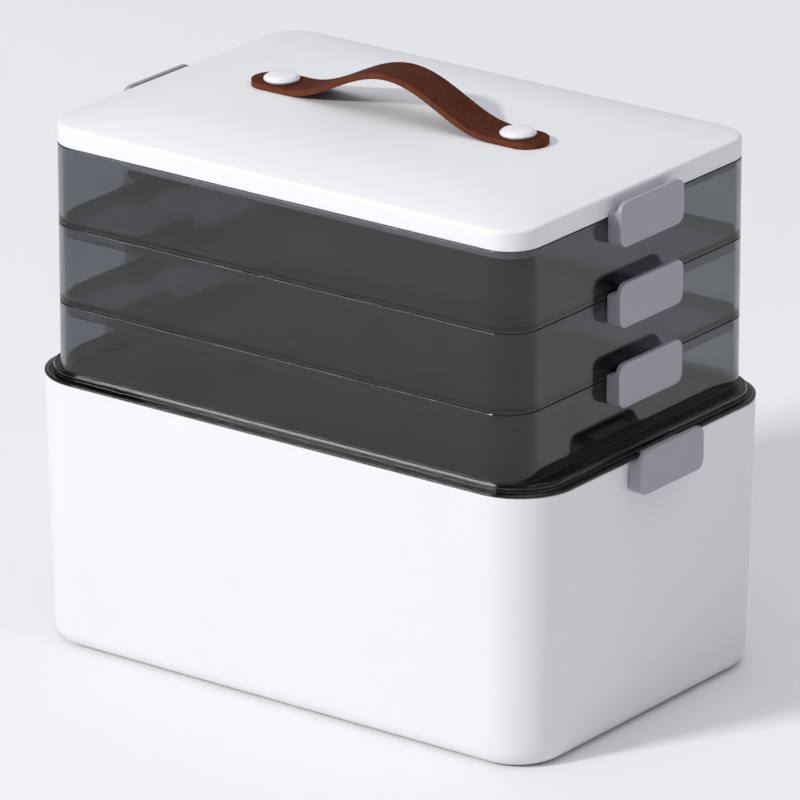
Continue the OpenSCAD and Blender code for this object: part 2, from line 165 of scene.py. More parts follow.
# The deep bottom bin, injection moulded in white polypropylene with a satin face. Its walls
# lean in a little towards the floor, and its bottom edge is fully rounded.
BIN_RIM = (175.0, 115.25, 35.0)
BIN_HEIGHT = 156.5
BIN_RIM_GAP = 0.06
BIN_RIM_ROUND = 0.7
BIN_LEAN = (4.0, 3.5)
BIN_EDGE = 10.0
BIN_WALL = 2.5
BIN_FLAT_FROM = 30.0
BIN_EDGE_STEPS = 10
CORNER_STEPS = 20
CORNER_LEAD = 1.5
LEAST_RADIUS = 0.5
PLASTIC_IOR = 1.49


def material(name):
    """A new material with only its output, as (material, node tree, output node)."""
    made = bpy.data.materials.new(name)
    made.use_nodes = True
    made.node_tree.nodes.clear()
    return made, made.node_tree, made.node_tree.nodes.new("ShaderNodeOutputMaterial")


def satin_polypropylene():
    """White polypropylene from a spark-eroded mould: a satin face with a grain of about
    0.4 mm and a faint flow tone."""
    made, tree, out = material("white_satin_polypropylene")
    place = node(tree, "ShaderNodeTexCoord").outputs["Object"]
    flow = node(tree, "ShaderNodeTexNoise", {"Vector": place}, scale=9.0, detail=2.0)
    tone = node(tree, "ShaderNodeValToRGB", {"Fac": flow.outputs["Fac"]})
    tone.color_ramp.elements[0].color = srgb("#eeeff1")
    tone.color_ramp.elements[1].color = srgb("#f2f2f4")
    grain = node(tree, "ShaderNodeTexNoise", {"Vector": place}, scale=2500.0, detail=1.0)
    bump = node(tree, "ShaderNodeBump", {"Height": grain.outputs["Fac"]},
                strength=0.04, distance=0.0001)
    face = node(tree, "ShaderNodeBsdfPrincipled",
                {"Base Color": tone.outputs["Color"], "Normal": bump.outputs["Normal"]},
                roughness=0.42)
    face.inputs["IOR"].default_value = PLASTIC_IOR
    tree.links.new(face.outputs["BSDF"], out.inputs["Surface"])
    return made


white_plastic = satin_polypropylene()


def fillet(corners, steps=6, lead=0.35):
    """Rounds the corners of a polyline. Each corner is (a, b, radius); its arc touches both
    sides, in `steps` steps, and a point `lead` before and after it keeps the sides' shading
    flat. With h half the corner's angle, the arc starts radius / tan(h) from the corner, and
    its centre lies radius / sin(h) from it."""
    made = [np.array(corners[0][:2], float)]
    for before, here, after in zip(corners, corners[1:], corners[2:]):
        point, radius = np.array(here[:2], float), here[2]
        if radius == 0:
            made.append(point)
            continue
        back = np.array(before[:2], float) - point
        ahead = np.array(after[:2], float) - point
        back_length, ahead_length = np.linalg.norm(back), np.linalg.norm(ahead)
        back, ahead = back / back_length, ahead / ahead_length
        half = math.acos(np.clip(back @ ahead, -1, 1)) / 2
        reach = radius / math.tan(half)
        middle = (back + ahead) / np.linalg.norm(back + ahead)
        centre = point + middle * radius / math.sin(half)
        first, last = point + back * reach - centre, point + ahead * reach - centre
        start = math.atan2(first[1], first[0])
        turn = (math.atan2(last[1], last[0]) - start + math.pi) % (2 * math.pi) - math.pi
        angles = start + turn * np.linspace(0, 1, steps + 1)
        if back_length > reach + 2 * lead:
            made.append(point + back * (reach + lead))
        made.extend(centre + radius * np.stack([np.cos(angles), np.sin(angles)], 1))
        if ahead_length > reach + 2 * lead:
            made.append(point + ahead * (reach + lead))
    made.append(np.array(corners[-1][:2], float))
    return np.array(made)


def rows_on(outline, profile):
    """Rows (half length, half width, corner radius, height) of a profile of (inset, height)
    on a rounded outline: each size of the outline less the inset, with a corner radius of at
    least LEAST_RADIUS."""
    profile = np.asarray(profile, float)
    inset, height = profile[:, 0], profile[:, 1]
    radius = np.maximum(outline[2] - inset, LEAST_RADIUS)
    return np.stack([outline[0] - inset, outline[1] - inset, radius, height], 1)


def mesh_object(name, points, faces, surface, body, slot):
    """A mesh in millimetres made an object in metres at the origin, smooth, in one material,
    riding on a body."""
    mesh = bpy.data.meshes.new(name)
    mesh.from_pydata((np.asarray(points) * MM).tolist(), [], faces)
    mesh.polygons.foreach_set("use_smooth", np.ones(len(mesh.polygons), bool))
    mesh.materials.append(surface)
    made = bpy.data.objects.new(name, mesh)
    scene.collection.objects.link(made)
    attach(made, body)
    return made


def ring_faces(rings, around, turned_over=False):
    """Faces of a stack of rings of `around` points each: quads from ring to ring, and a flat
    face at either end. They face outwards where the rings run counter-clockwise as seen from
    the last one, and `turned_over` is for rings that run the other way."""
    k, i = np.meshgrid(np.arange(rings - 1) * around, np.arange(around), indexing="ij")
    j = (i + 1) % around
    corners = [k + i, k + j, k + around + j, k + around + i]
    first = list(range(around))
    last = [(rings - 1) * around + n for n in first]
    if turned_over:
        corners = [corners[0], corners[3], corners[2], corners[1]]
        last.reverse()
    else:
        first.reverse()
    return np.stack(corners, 2).reshape(-1, 4).tolist() + [first, last]


def rounded_skin(rows):
    """A closed skin through rounded rectangles, as (points, faces). Each row (half length,
    half width, radius, height) is a ring of four arcs joined by straight sides, with
    x = length - radius + radius * cos(a) and y = width - radius + radius * sin(a) in the
    first quarter and the same mirrored in the others. A point CORNER_LEAD before and after
    each arc keeps the sides' shading flat."""
    rows = np.asarray(rows, float)
    quarter = np.linspace(0, 90, CORNER_STEPS + 1)
    angle = np.radians(np.concatenate([90 * c + np.r_[0, quarter, 90] for c in range(4)]))
    slide = np.tile(np.r_[-1, np.zeros(CORNER_STEPS + 1), 1], 4) * CORNER_LEAD
    side_x = np.repeat([1, -1, -1, 1], CORNER_STEPS + 3)
    side_y = np.repeat([1, 1, -1, -1], CORNER_STEPS + 3)
    length, width, radius, height = (rows[:, k : k + 1] for k in range(4))
    x = side_x * (length - radius) + radius * np.cos(angle) - slide * np.sin(angle)
    y = side_y * (width - radius) + radius * np.sin(angle) + slide * np.cos(angle)
    points = np.stack([x, y, np.broadcast_to(height, x.shape)], 2).reshape(-1, 3)
    return points, ring_faces(rows.shape[0], angle.size)


def leaning(rows):
    """Rows moved in by the lean of the bin's walls: the full lean from the bottom edge down,
    none at the rim, and a share by height between them."""
    share = np.clip((BIN_HEIGHT - rows[:, 3]) / (BIN_HEIGHT - BIN_EDGE), 0, 1)
    rows[:, 0] -= BIN_LEAN[0] * share
    rows[:, 1] -= BIN_LEAN[1] * share
    rows[:, 2] = np.maximum(rows[:, 2] - BIN_LEAN[0] * share, LEAST_RADIUS)
    return rows


bin_rim = BIN_HEIGHT - BIN_RIM_GAP
bin_profile = fillet([
    (BIN_FLAT_FROM, 0, 0), (0, 0, BIN_EDGE), (0, bin_rim, BIN_RIM_ROUND),
    (BIN_WALL, bin_rim, BIN_RIM_ROUND), (BIN_WALL, BIN_WALL, BIN_EDGE - BIN_WALL),
    (BIN_FLAT_FROM, BIN_WALL, 0)], steps=BIN_EDGE_STEPS)
bin_shell = mesh_object("bin_shell", *rounded_skin(leaning(rows_on(BIN_RIM, bin_profile))),
                        white_plastic, "bin_body", "white_plastic")
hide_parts("bin")


# Three shallow trays moulded in smoky polystyrene, polished inside and out. Each upper tray
# nests by a foot ring in the one below; the bottom one has a wide stepped flange on the bin's
# rim, hollow underneath, with a skirt that locates it inside the bin.
TRAY = (160.0, 109.75, 20.0)
TRAY_BASES = (155.5, 200.9, 246.3)
TRAY_HEIGHT = 45.4
TRAY_WALL = 2.5
TRAY_FLOOR = 2.0
TRAY_FLAT_FROM = 45.0
TRAY_EDGE = 0.5
RIM_GAP = 0.15
RIM_ROUND = 0.6
FLOOR_ROUND = 2.0
FOOT = (3.0, 5.2, 7.0)
FOOT_ROUNDS = (0.6, 0.8, 0.3)
LIP = (4.8, 1.6)
LIP_ROUNDS = (0.9, 0.5)
SHELF = (5.7, 2.5)
SHELF_ROUND = 2.0
UNDER_SHELF_ROUNDS = (0.8, 0.3, 0.5)
SHELF_OVERLAP = 4.0
SHELF_RUN = 6.0
SKIRT_IN_BIN = (3.0, 5.8, 7.0)
SKIRT_ROUNDS = (0.3, 0.8)
FLANGE_CLEAR = 0.2


def smoky_polystyrene():
    """Clear polystyrene with a grey dye: polished faces that tint what passes them, and a
    weaker dye in the body, so that long ways through it are darker. A 2.5 mm wall passes
    about a third of the light."""
    made, tree, out = material("smoky_polystyrene")
    place = node(tree, "ShaderNodeTexCoord").outputs["Object"]
    ripple = node(tree, "ShaderNodeTexNoise", {"Vector": place}, scale=30.0, detail=0.0)
    bump = node(tree, "ShaderNodeBump", {"Height": ripple.outputs["Fac"]},
                strength=0.01, distance=0.0005)
    face = node(tree, "ShaderNodeBsdfPrincipled", {"Normal": bump.outputs["Normal"]},
                base_color=srgb("#b4b7bb"), roughness=0.02, transmission_weight=1.0)
    face.inputs["IOR"].default_value = PLASTIC_IOR
    dye = node(tree, "ShaderNodeVolumeAbsorption", color=srgb("#8b9095"), density=155.0)
    tree.links.new(face.outputs["BSDF"], out.inputs["Surface"])
    tree.links.new(dye.outputs["Volume"], out.inputs["Volume"])
    return made


smoky_plastic = smoky_polystyrene()


def tray_walls(base):
    """Corners of a tray's profile over its rim and down inside to the middle of the floor."""
    rim, floor_top = base + TRAY_HEIGHT - RIM_GAP, base + TRAY_FLOOR
    return [(0, rim, RIM_ROUND), (TRAY_WALL, rim, RIM_ROUND),
            (TRAY_WALL, floor_top, FLOOR_ROUND), (TRAY_FLAT_FROM, floor_top, 0)]


def stacking_tray(name, base, body):
    """A tray with its foot ring, as one closed skin: its profile runs from the underside's
    middle, round the foot ring and the rim, to the floor's middle."""
    outer, inner, down = FOOT
    inner_root, tip, outer_root = FOOT_ROUNDS
    foot = base - down
    profile = fillet([
        (TRAY_FLAT_FROM, base, 0), (inner, base, inner_root), (inner, foot, tip),
        (outer, foot, tip), (outer, base, outer_root), (0, base, TRAY_EDGE)]
        + tray_walls(base))
    return mesh_object(name, *rounded_skin(rows_on(TRAY, profile)), smoky_plastic, body,
                       "clear_plastic")


def flanged_tray(name, base, body):
    """The bottom tray: its profile runs up to the underside of the shelf, out on the bin's
    outline round the skirt and the lip, and back over the shelf to the tray's walls."""
    rim, shelf = BIN_HEIGHT, BIN_HEIGHT + SHELF[0]
    under, hollow, lip_top = shelf - SHELF[1], LIP[0] + SHELF[1], rim + LIP[1]
    skirt_out, skirt_in, skirt_down = SKIRT_IN_BIN
    skirt_foot = rim - skirt_down
    skirt_root, skirt_tip = SKIRT_ROUNDS
    edge, wall_root, hollow_root = UNDER_SHELF_ROUNDS
    wall_foot = rows_on(TRAY, fillet([
        (TRAY_FLAT_FROM, base, 0), (0, base, edge), (0, under, wall_root),
        (-SHELF_OVERLAP, under, 0)])[:-1])
    flange = rows_on(BIN_RIM, fillet([
        (hollow + SHELF_OVERLAP, under, 0), (hollow, under, hollow_root), (hollow, rim, 0),
        (skirt_in, rim, skirt_root), (skirt_in, skirt_foot, skirt_tip),
        (skirt_out, skirt_foot, skirt_tip), (skirt_out, rim, skirt_root),
        (0, rim, skirt_root), (0, lip_top, LIP_ROUNDS[0]), (LIP[0], lip_top, LIP_ROUNDS[1]),
        (LIP[0], shelf, SHELF_ROUND), (LIP[0] + SHELF_RUN, shelf, 0)])[1:-1])
    flange[:, 1] = np.maximum(flange[:, 1], TRAY[1] + FLANGE_CLEAR)
    above = rows_on(TRAY, fillet(
        [(-SHELF_OVERLAP, shelf, 0), (0, shelf, TRAY_EDGE)] + tray_walls(base))[1:])
    return mesh_object(name, *rounded_skin(np.concatenate([wall_foot, flange, above])),
                       smoky_plastic, body, "clear_plastic")


bottom_tray = flanged_tray("tray_bottom_shell", TRAY_BASES[0], "tray_bottom_body")
middle_tray = stacking_tray("tray_middle_shell", TRAY_BASES[1], "tray_middle_body")
top_tray = stacking_tray("tray_top_shell", TRAY_BASES[2], "tray_top_body")
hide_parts("tray_bottom")
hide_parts("tray_middle")
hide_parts("tray_top")


# The white lid, in the same satin polypropylene: an upright side, a softly rounded edge and
# a low pillow crown that is flat in the middle, where the strap is riveted on. A skirt
# inside drops into the top tray.
LID_BASE = 291.7
LID_SIDE = 9.5
LID_EDGE = 2.4
LID_EDGE_POINTS = 9
LID_WALL = 2.5
LID_SKIRT = (3.0, 5.2, 4.8)
LID_SKIRT_ROUNDS = (0.5, 0.9, 0.3)
LID_STEP = 4.75
LID_STEP_ROUND = 0.4
LID_FOOT_EDGE = 0.5
LID_INSIDE_FROM = 7.0
LID_OUTSIDE_TO = 8.8
CROWN_RISE = 7.6
CROWN_BAND = 55.0
CROWN_POINTS = 29
CROWN_FIRST = 0.008
CROWN_LAST = 1.02
CROWN_CORNERS_OPEN = 0.54


def crown_rows(inset):
    """From the lid's upright side round its edge and over the crown: an arc of the edge's
    radius, then the long arc of radius (span ** 2 + rise ** 2) / (2 * rise), which is level
    at the end of the band. The corners open out as the crown rises."""
    slope = 2 * math.atan(CROWN_RISE / CROWN_BAND)
    turn = np.linspace(0, math.pi / 2 - slope, LID_EDGE_POINTS)
    edge_in = LID_EDGE * (1 - np.cos(turn))
    edge_up = LID_SIDE + LID_EDGE * np.sin(turn)
    edge = np.stack([TRAY[0] - inset - edge_in, TRAY[1] - inset - edge_in,
                     TRAY[2] - inset - edge_in / 2, edge_up], 1)
    span = CROWN_BAND - edge_in[-1]
    arc = (span**2 + CROWN_RISE**2) / (2 * CROWN_RISE)
    run = span * np.r_[CROWN_FIRST, np.linspace(0, 1, CROWN_POINTS)[1:], CROWN_LAST]
    left = np.maximum(span - run, 0)
    rise = np.sqrt(arc**2 - left**2) - (arc - CROWN_RISE)
    crown = np.stack([edge[-1, 0] - run, edge[-1, 1] - run,
                      edge[-1, 2] + run * CROWN_CORNERS_OPEN, edge_up[-1] + rise], 1)
    rows = np.concatenate([edge, crown])
    rows[:, 3] += LID_BASE - inset
    return rows


def lid_foot():
    """From the lid's inner wall round the skirt's step, inner face, foot and outer face, and
    out under the lid to the foot of its upright side."""
    skirt_out, skirt_in, skirt_down = LID_SKIRT
    step_root, tip, outer_root = LID_SKIRT_ROUNDS
    foot, step, seat = LID_BASE - skirt_down, LID_BASE + LID_STEP, LID_BASE + RIM_GAP
    return rows_on(TRAY, fillet([
        (LID_WALL, LID_BASE + LID_INSIDE_FROM, 0), (LID_WALL, step, LID_STEP_ROUND),
        (skirt_in, step, step_root), (skirt_in, foot, tip), (skirt_out, foot, tip),
        (skirt_out, seat, outer_root), (0, seat, LID_FOOT_EDGE),
        (0, LID_BASE + LID_OUTSIDE_TO, 0)]))


lid_rows = np.concatenate([crown_rows(LID_WALL)[::-1], lid_foot(), crown_rows(0.0)])
lid_shell = mesh_object("lid_shell", *rounded_skin(lid_rows), white_plastic, "lid_body",
                        "white_plastic")
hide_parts("lid")


# A flat strap of brown vegetable-tanned leather, 25 mm wide and 3.4 mm thick, cut with round
# ends, arched for the fingers and held by a rivet near each end. Its cut edges are dyed
# and burnished, a lighter and redder brown than the pressed face.
LID_TOP = 311.11
STRAP_WIDTH = 25.2
STRAP_THICK = 3.4
STRAP_END = 85.4
STRAP_STEPS = (120, 12, 24)
ARCH_RISE = 21.7
ARCH_HALF = 69.4
WORN_EDGE = 0.6
WORN_EDGE_STEPS = 4
WORN_EDGE_FROM = 60.0
LEATHER_SHEEN = 0.04


def leather(name, dark, light, roughness, speckle):
    """Vegetable-tanned leather: pores about 1 mm apart under a pressed satin finish, over a
    slow change of tone. `speckle` is how much the pores change the tone."""
    made, tree, out = material(name)
    place = node(tree, "ShaderNodeTexCoord").outputs["Object"]
    tone = node(tree, "ShaderNodeTexNoise", {"Vector": place}, scale=120.0, detail=6.0)
    tint = node(tree, "ShaderNodeValToRGB", {"Fac": tone.outputs["Fac"]})
    first, last = tint.color_ramp.elements
    first.position, first.color = 0.3, srgb(dark)
    last.position, last.color = 0.7, srgb(light)
    pores = node(tree, "ShaderNodeTexVoronoi", {"Vector": place}, feature="SMOOTH_F1",
                 scale=900.0)
    depth = node(tree, "ShaderNodeMapRange", {"Value": pores.outputs["Distance"]},
                 from_max=0.6, to_min=1 + speckle, to_max=1 - speckle)
    shade = node(tree, "ShaderNodeVectorMath",
                 {"Vector": tint.outputs["Color"], "Scale": depth.outputs["Result"]},
                 operation="SCALE")
    grain = node(tree, "ShaderNodeBump", {"Height": pores.outputs["Distance"]},
                 strength=0.35, distance=0.0002)
    face = node(tree, "ShaderNodeBsdfPrincipled",
                {"Base Color": shade.outputs["Vector"], "Normal": grain.outputs["Normal"]},
                roughness=roughness)
    face.inputs["Specular IOR Level"].default_value = LEATHER_SHEEN
    tree.links.new(face.outputs["BSDF"], out.inputs["Surface"])
    return made


def strap_sheet():
    """The strap's underside as a grid, as (points, faces): straight lines across the long
    part, and a half disc at each end, a square pressed into a circle by x = u * sqrt(1 -
    v * v / 2) and y = v * sqrt(1 - u * u / 2). Its height is the arch, a raised cosine."""
    along, into_end, across = STRAP_STEPS
    v = np.linspace(-1, 1, across + 1)
    u = np.linspace(0, 1, into_end + 1)[1:, None]
    half = STRAP_WIDTH / 2
    end_x = STRAP_END + half * u * np.sqrt(1 - v**2 / 2)
    end_y = half * v * np.sqrt(1 - u**2 / 2)
    middle = np.linspace(-STRAP_END, STRAP_END, along + 1)
    x = np.concatenate([-end_x[::-1], np.repeat(middle[:, None], v.size, 1), end_x])
    y = np.concatenate([end_y[::-1], np.repeat(half * v[None, :], middle.size, 0), end_y])
    inside = np.minimum(np.abs(x) / ARCH_HALF, 1)
    z = LID_TOP + ARCH_RISE * (1 + np.cos(math.pi * inside)) / 2
    rows, columns = x.shape
    a = (np.arange(rows - 1)[:, None] * columns + np.arange(columns - 1)).ravel()
    quads = np.stack([a, a + columns, a + columns + 1, a + 1], 1).tolist()
    return np.stack([x, y, z], 2).reshape(-1, 3), quads


pressed_face = leather("leather_pressed_face", "#4f291b", "#5f3223", 0.6, 0.28)
dyed_edge = leather("leather_dyed_edge", "#653624", "#733f2a", 0.65, 0.1)
strap = mesh_object("strap_leather", *strap_sheet(), pressed_face, "lid_body", "leather")
strap.data.materials.append(dyed_edge)
thickness = strap.modifiers.new("thickness", "SOLIDIFY")
thickness.thickness = STRAP_THICK * MM
thickness.offset = 1.0
thickness.use_even_offset = True
thickness.material_offset_rim = 1
worn_edge = strap.modifiers.new("worn_edge", "BEVEL")
worn_edge.width = WORN_EDGE * MM
worn_edge.segments = WORN_EDGE_STEPS
worn_edge.limit_method = "ANGLE"
worn_edge.angle_limit = math.radians(WORN_EDGE_FROM)
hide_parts("handle_strap")


# Two white plastic push rivets: a smooth domed cap, 21 mm across, pulls the leather flat on
# the lid. The disc that locks each one inside the lid is kept from model.glb, in the white
# plastic.
CAP_RADIUS = 10.55
CAP_HEIGHT = 4.0
CAP_SEAT = 0.05
CAP_UNDER = (1.2, 0.3)
CAP_EDGE = (1.5, 1.0)
CAP_DOME_FROM = (1.6, 2.65)
CAP_EDGE_STEPS = 8
CAP_EDGE_LEAD = 0.1
DOME_STEPS = 14
SHANK_RADIUS = 3.0
SHANK_LENGTH = 11.1
RIVET_AT = 80.1
RIVET_SIDES = 64


def rivet_profile():
    """From the shank's tip up to the cap's underside, round its edge and over the dome, as
    (radius, height). The dome is a quarter ellipse: radius * cos(t), with its height rising
    by sin(t) to the cap's."""
    edge = fillet([
        (SHANK_RADIUS, -SHANK_LENGTH, 0), (SHANK_RADIUS, CAP_SEAT, 0),
        (CAP_RADIUS - CAP_UNDER[0], CAP_SEAT, CAP_UNDER[1]), (CAP_RADIUS, *CAP_EDGE),
        (CAP_RADIUS - CAP_DOME_FROM[0], CAP_DOME_FROM[1], 0)],
        steps=CAP_EDGE_STEPS, lead=CAP_EDGE_LEAD)
    radius, height = edge[-1]
    turn = np.linspace(0, 1, DOME_STEPS + 1)[1:-1] * math.pi / 2
    dome = np.stack([radius * np.cos(turn), height + (CAP_HEIGHT - height) * np.sin(turn)], 1)
    return np.concatenate([edge, dome])


def turned(profile, at):
    """A profile of (radius, height) turned about a vertical axis at `at`, closed flat at both
    ends, as (points, faces)."""
    angle = np.linspace(0, 2 * math.pi, RIVET_SIDES, endpoint=False)
    radius, height = profile[:, 0][:, None], profile[:, 1][:, None]
    x, y = at[0] + radius * np.cos(angle), at[1] + radius * np.sin(angle)
    points = np.stack([x, y, at[2] + np.broadcast_to(height, x.shape)], 2).reshape(-1, 3)
    return points, ring_faces(len(profile), RIVET_SIDES)


for side, x in (("left", -RIVET_AT), ("right", RIVET_AT)):
    cap_at = (x, 0, LID_TOP + STRAP_THICK)
    cap = mesh_object(f"rivet_cap_{side}", *turned(rivet_profile(), cap_at), white_plastic,
                      "lid_body", "white_plastic")
    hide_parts(f"rivet_{side}")
    lock_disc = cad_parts[f"rivet_back_{side}"].data
    lock_disc.materials.clear()
    lock_disc.materials.append(white_plastic)


# Eight side latches in grey ABS, a textured moulding. Each is a rocking plate with a cheek at
# either end; a hook behind the plate grips the ledge or the flange above the joint, and the
# cheeks turn on a steel pin held by two lugs on the wall.
BIN_LATCH_LOWER = 1.9
LATCHES = (("bin", "tray_bottom", BIN_RIM[0], BIN_HEIGHT - BIN_LATCH_LOWER),
           ("bottom", "tray_middle", TRAY[0], TRAY_BASES[1]),
           ("middle", "tray_top", TRAY[0], TRAY_BASES[2]),
           ("top", "lid", TRAY[0], LID_BASE))
PIVOT_OUT = 4.4
PIVOT_DOWN = 12.0
LATCH_HALF = 29.25
LATCH_OUT = 9.0
LATCH_UP = 9.0
LATCH_DOWN = 16.1
LATCH_CORNER = 6.0
FACE_THICK = 1.45
FACE_EDGE_ON_BIN = 1.0
FACE_EDGE_ON_TRAY = 0.55
FACE_EDGE_MARGIN = 0.1
FACE_FLAT_FROM = 8.0
FACE_EDGE_LEAD = 0.25
PLATE_IN = 6.3
CORE_OUT = 8.2
CORE_INTO_CHEEK = 0.15
POCKET_RADIUS = 3.1
POCKET_POINTS = 7
WALL_GAP = 0.3
UNDER_FACE = 0.02
CHEEK_IN = 22.45
CHEEK_OUT = 8.0
CHEEK_UP = 2.5
CHEEK_SCOOP = 3.6
CHEEK_SCOOP_TURN = 74.0
CHEEK_SOFT = 0.5
CHEEK_FIRST_SLICE = 0.05
CHEEK_ARC_POINTS = 9
CHEEK_SLICES = 13
HOOK_HALF = 17.0
HOOK_THICK = 2.2
HOOK_ROOT = 7.0
HOOK_NOSE_ROUND = 0.3
HOOK_STEPS = 4
HOOK_OVER_FLANGE = {"reach": -1.6, "low": 3.75, "slope": 0.0, "nose": 0.7}
HOOK_OVER_LEDGE = {"reach": 0.3, "low": 3.45, "slope": 13.86, "nose": 1.7}
LUG_RADIUS = 2.8
LUG_FROM, LUG_TO = 12.05, 22.05
LUG_NOSE_POINTS = 17
LEDGE_HALF = 16.0
LEDGE_OUT = 1.7
LEDGE_LOW = 1.0
LEDGE_TOP = (3.2, 3.62)
LEDGE_LEAN_FROM = 0.05
ROOT_IN_WHITE = -0.8
ROOT_ON_CLEAR = 0.02
CRISP_FROM = 30.0


def grey_abs():
    """Mid-grey ABS: an even colour with a fine eroded grain of about 0.3 mm that keeps its
    gloss low."""
    made, tree, out = material("grey_moulded_abs")
    place = node(tree, "ShaderNodeTexCoord").outputs["Object"]
    cloud = node(tree, "ShaderNodeTexNoise", {"Vector": place}, scale=35.0, detail=3.0)
    tone = node(tree, "ShaderNodeValToRGB", {"Fac": cloud.outputs["Fac"]})
    tone.color_ramp.elements[0].color = srgb("#a2a0a8")
    tone.color_ramp.elements[1].color = srgb("#a7a5ad")
    grain = node(tree, "ShaderNodeTexNoise", {"Vector": place}, scale=3300.0, detail=1.0)
    bump = node(tree, "ShaderNodeBump", {"Height": grain.outputs["Fac"]},
                strength=0.06, distance=0.0001)
    face = node(tree, "ShaderNodeBsdfPrincipled",
                {"Base Color": tone.outputs["Color"], "Normal": bump.outputs["Normal"]},
                roughness=0.3)
    tree.links.new(face.outputs["BSDF"], out.inputs["Surface"])
    return made


def drawn_steel():
    """Bright drawn steel wire for the pins: a satin metal, worn unevenly in spots of about
    1 mm."""
    made, tree, out = material("drawn_steel_wire")
    place = node(tree, "ShaderNodeTexCoord").outputs["Object"]
    spots = node(tree, "ShaderNodeTexNoise", {"Vector": place}, scale=900.0, detail=2.0)
    wear = node(tree, "ShaderNodeMapRange", {"Value": spots.outputs["Fac"]},
                to_min=0.25, to_max=0.4)
    face = node(tree, "ShaderNodeBsdfPrincipled", {"Roughness": wear.outputs["Result"]},
                base_color=srgb("#c9cacd"), metallic=1.0)
    tree.links.new(face.outputs["BSDF"], out.inputs["Surface"])
    return made


latch_plastic = grey_abs()
pin_steel = drawn_steel()


def drawn_along_wall(profiles, ways):
    """A closed skin through outlines (out from the wall, up), counter-clockwise as seen from
    the front, one at each place along the wall, as (points, faces)."""
    profiles = np.asarray(profiles, float)
    slices, count = profiles.shape[:2]
    y = np.broadcast_to(np.asarray(ways, float)[:, None], (slices, count))
    points = np.stack([profiles[..., 0], y, profiles[..., 1]], 2).reshape(-1, 3)
    return points, ring_faces(slices, count, turned_over=True)


def bar(profile, start, end):
    """One outline drawn straight along the wall from start to end."""
    return drawn_along_wall([profile, profile], (start, end))


def plate_face(edge):
    """The outer skin of the plate: a rounded rectangle whose rim is rounded by `edge` towards
    the outer face."""
    back = LATCH_OUT - max(FACE_THICK, edge + FACE_EDGE_MARGIN)
    profile = fillet([(0, back, 0), (0, LATCH_OUT, edge), (edge + FACE_FLAT_FROM, LATCH_OUT, 0)],
                     lead=FACE_EDGE_LEAD)[:-1]
    half_up = (LATCH_UP + LATCH_DOWN) / 2
    points, faces = rounded_skin(rows_on((LATCH_HALF, half_up, LATCH_CORNER), profile))
    return points[:, [2, 0, 1]] + [0, 0, LATCH_UP - half_up], faces


def plate_core():
    """The inner part of the plate between the cheeks, scooped out below by an arc about the
    pin that clears the lugs."""
    turn = np.linspace(math.acos((PLATE_IN - PIVOT_OUT) / POCKET_RADIUS), 0, POCKET_POINTS)
    scoop = np.stack([PIVOT_OUT + POCKET_RADIUS * np.cos(turn),
                      POCKET_RADIUS * np.sin(turn) - PIVOT_DOWN], 1)
    top = LATCH_UP - UNDER_FACE
    profile = np.concatenate([scoop, [[CORE_OUT, -PIVOT_DOWN], [CORE_OUT, top], [PLATE_IN, top]]])
    return bar(profile, -CHEEK_IN - CORE_INTO_CHEEK, CHEEK_IN + CORE_INTO_CHEEK)


def fallen(past, radius):
    """How far a round corner falls away where a place is `past` its start: R - sqrt(R ** 2 -
    over ** 2), with over limited to the corner."""
    over = np.clip(past, 0, radius)
    return radius - np.sqrt(radius**2 - over**2)


def cheek(side):
    """One cheek: a round foot about the pin, a low top by the wall and a scoop up to the
    plate, drawn along the wall. The plate's round corners cut it, and its outer end is
    softened by a quarter arc."""
    heel_turn = np.radians(np.linspace(180, 270, CHEEK_ARC_POINTS))
    heel = PIVOT_OUT - WALL_GAP
    foot = np.stack([PIVOT_OUT + heel * np.cos(heel_turn),
                     heel * np.sin(heel_turn) - PIVOT_DOWN], 1)
    plate = [[CHEEK_OUT, -LATCH_DOWN], [CHEEK_OUT, LATCH_UP], [PLATE_IN + UNDER_FACE, LATCH_UP]]
    scoop_turn = np.radians(np.linspace(0, -CHEEK_SCOOP_TURN, CHEEK_ARC_POINTS))
    scoop = np.stack([PLATE_IN - CHEEK_SCOOP + CHEEK_SCOOP * np.cos(scoop_turn),
                      CHEEK_UP + CHEEK_SCOOP + CHEEK_SCOOP * np.sin(scoop_turn)], 1)
    by_wall = [[WALL_GAP + CHEEK_SOFT, CHEEK_UP], [WALL_GAP, CHEEK_UP - CHEEK_SOFT]]
    profile = np.concatenate([foot, plate, scoop, by_wall])
    end = LATCH_HALF - UNDER_FACE
    reach = end - CHEEK_IN - CHEEK_FIRST_SLICE
    turn = np.linspace(0, math.pi / 2, CHEEK_SLICES)
    ways = np.concatenate([[CHEEK_IN], CHEEK_IN + CHEEK_FIRST_SLICE + reach * np.sin(turn)])
    soft = fallen(ways - (end - CHEEK_SOFT), CHEEK_SOFT)
    drop = fallen(ways + UNDER_FACE - (LATCH_HALF - LATCH_CORNER), LATCH_CORNER) + UNDER_FACE
    out = np.maximum(profile[:, 0], (WALL_GAP + soft)[:, None])
    softened = profile[:, 1] - np.where(profile[:, 1] > 0, soft[:, None], 0)
    up = np.clip(softened, (drop - LATCH_DOWN)[:, None], (LATCH_UP - drop)[:, None])
    slices = np.stack([out, up], 2)
    if side > 0:
        return drawn_along_wall(slices, ways)
    return drawn_along_wall(slices[::-1], -ways[::-1])


